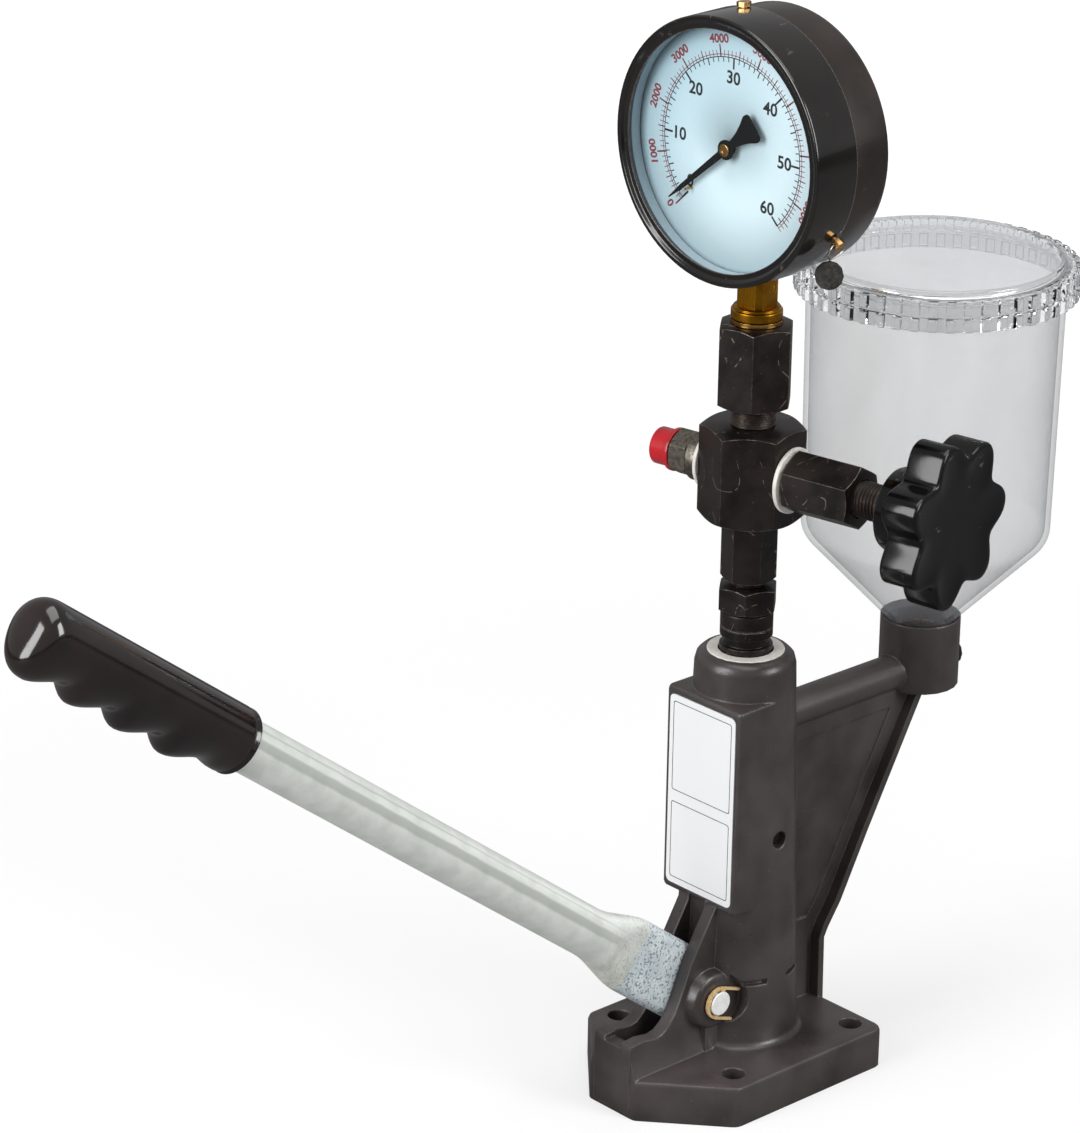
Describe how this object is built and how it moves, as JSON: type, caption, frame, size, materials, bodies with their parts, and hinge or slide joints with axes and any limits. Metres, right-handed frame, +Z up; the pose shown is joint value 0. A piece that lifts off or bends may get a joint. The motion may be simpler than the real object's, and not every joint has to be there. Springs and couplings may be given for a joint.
{
  "type": "diesel injector tester",
  "caption": "Hand-lever diesel injector tester: cast stand with pump, pressure gauge, shut-off valve with star knob, capped outlet and clear fuel cup on an arm.",
  "frame": {"origin": "on the bench face, on the axis of the pump column", "axes": "+Z up along the column, -Y towards the lever's handle and the dial's reader, +Y towards the fuel cup, +X towards the star knob"},
  "size_m": [0.1547, 0.5058, 0.4393],
  "materials": {
    "dark_casting": "satin, as cast, painted dark brown-black",
    "black_oxide_steel": "black oxide, satin, slightly scratched",
    "ground_steel": "ground",
    "galvanised_steel": "galvanised, satin",
    "grey_zinc": "grey zinc plate",
    "brass": "turned",
    "yellow_zinc": "yellow passivated",
    "gauge_case_black": "satin enamel",
    "dial_pale_blue": "matt print ground",
    "pointer_black": "matt",
    "clear_plastic": "clear, slightly grey",
    "gauge_glass": "polished",
    "glossy_black": "polished moulding",
    "grip_black": "glossy dark brown-black",
    "red_cap": "glossy",
    "white_washer": "matt",
    "label_white": "satin",
    "black_rubber": "matt",
    "dark_seal_lead": "dull"
  },
  "bodies": {
    "stand": {"stand_casting": "dark_casting", "label_plate": "label_white", "pump_barrel": "ground_steel", "return_spring": "ground_steel", "barrel_lock_screw": "black_oxide_steel", "column_top_ring": "white_washer", "delivery_adaptor": "black_oxide_steel", "delivery_spring": "ground_steel", "lock_nut": "black_oxide_steel", "riser": "black_oxide_steel", "cross_body": "black_oxide_steel", "upper_neck": "black_oxide_steel", "gauge_union": "black_oxide_steel", "gauge_washer": "yellow_zinc", "gauge_stem": "brass", "gauge_case": "gauge_case_black", "gauge_bezel": "gauge_case_black", "gauge_glass": "gauge_glass", "glass_seal": "black_rubber", "gauge_dial": "dial_pale_blue", "gauge_movement": "brass", "movement_link": "brass", "bourdon_tube": "brass", "zero_stop_pin": "pointer_black", "case_screw_top": "yellow_zinc", "case_screw_seal": "yellow_zinc", "case_screw_left": "yellow_zinc", "valve_washer": "white_washer", "valve_body": "black_oxide_steel", "outlet_washer": "white_washer", "outlet_nipple": "grey_zinc", "fuel_cup": "clear_plastic", "cup_o_ring": "black_rubber", "cup_strainer": "brass", "cup_clamp_screw": "black_oxide_steel", "pivot_pin": "ground_steel", "retaining_clip": "yellow_zinc"},
    "lever": {"lever_tube": "galvanised_steel", "lever_tongue": "ground_steel", "grip": "grip_black"},
    "plunger_set": {"tappet": "ground_steel", "spring_seat": "ground_steel", "plunger": "ground_steel"},
    "valve_needle": {"valve_needle": "ground_steel"},
    "valve_knob": {"valve_spindle": "black_oxide_steel", "valve_knob": "glossy_black"},
    "pointer": {"pointer": "pointer_black", "pointer_hub": "pointer_black"},
    "outlet_cap": {"outlet_cap": "red_cap"},
    "lid_gasket": {"lid_gasket": "clear_plastic"},
    "cup_lid": {"cup_lid": "clear_plastic"},
    "seal_tag": {"seal_wire": "ground_steel", "seal_disc": "dark_seal_lead"},
    "delivery_ball": {"delivery_ball": "ground_steel"}
  },
  "joints": [
    {"name": "lever_hinge", "type": "hinge", "parent": "stand", "child": "lever", "pos_m": [0, -0.025, 0.0395], "axis": [1, 0, 0], "range_deg": [0, 29], "stiffness_Nm_per_rad": 2.4, "springref_deg": -28.65},
    {"name": "plunger_slide", "type": "slide", "parent": "stand", "child": "plunger_set", "axis": [0, 0, 1], "range_m": [0, 0.01253], "deforming": ["return_spring"]},
    {"name": "needle_slide", "type": "slide", "parent": "stand", "child": "valve_needle", "axis": [0.9826, 0.1857, 0], "range_m": [-0.0015, 0.0015]},
    {"name": "knob_turn", "type": "hinge", "parent": "valve_needle", "child": "valve_knob", "pos_m": [0, 0, 0.2542], "axis": [0.9826, 0.1857, 0], "range_deg": [-360, 360]},
    {"name": "pointer_turn", "type": "hinge", "parent": "stand", "child": "pointer", "pos_m": [0, 0, 0.3857], "axis": [-0.0389, 0.9992, 0], "range_deg": [0, 265], "stiffness_Nm_per_rad": 0.0004, "springref_deg": -8.59},
    {"name": "cap_slide", "type": "slide", "parent": "stand", "child": "outlet_cap", "axis": [-0.9826, -0.1857, 0], "range_m": [0, 0.012]},
    {"name": "gasket_slide", "type": "slide", "parent": "stand", "child": "lid_gasket", "axis": [0, 0, 1], "range_m": [0, 0.01]},
    {"name": "lid_turn", "type": "hinge", "parent": "lid_gasket", "child": "cup_lid", "pos_m": [0, 0.0998, 0.31], "axis": [0, 0, 1], "range_deg": [0, 900]},
    {"name": "seal_swing", "type": "hinge", "parent": "stand", "child": "seal_tag", "pos_m": [0.04565, -0.00483, 0.35687], "axis": [0.0389, -0.9992, 0], "range_deg": [-10, 15]},
    {"name": "ball_lift", "type": "slide", "parent": "stand", "child": "delivery_ball", "axis": [0, 0, 1], "range_m": [0, 0.0012], "stiffness_N_per_m": 200, "springref_m": -0.004, "deforming": ["delivery_spring"]}
  ],
  "couplings": [
    {"joint": "plunger_slide", "follows": "lever_hinge", "m_per_rad": 0.024734},
    {"joint": "needle_slide", "follows": "knob_turn", "m_per_rad": 0.00023873},
    {"joint": "gasket_slide", "follows": "lid_turn", "m_per_rad": 0.00063662}
  ]
}
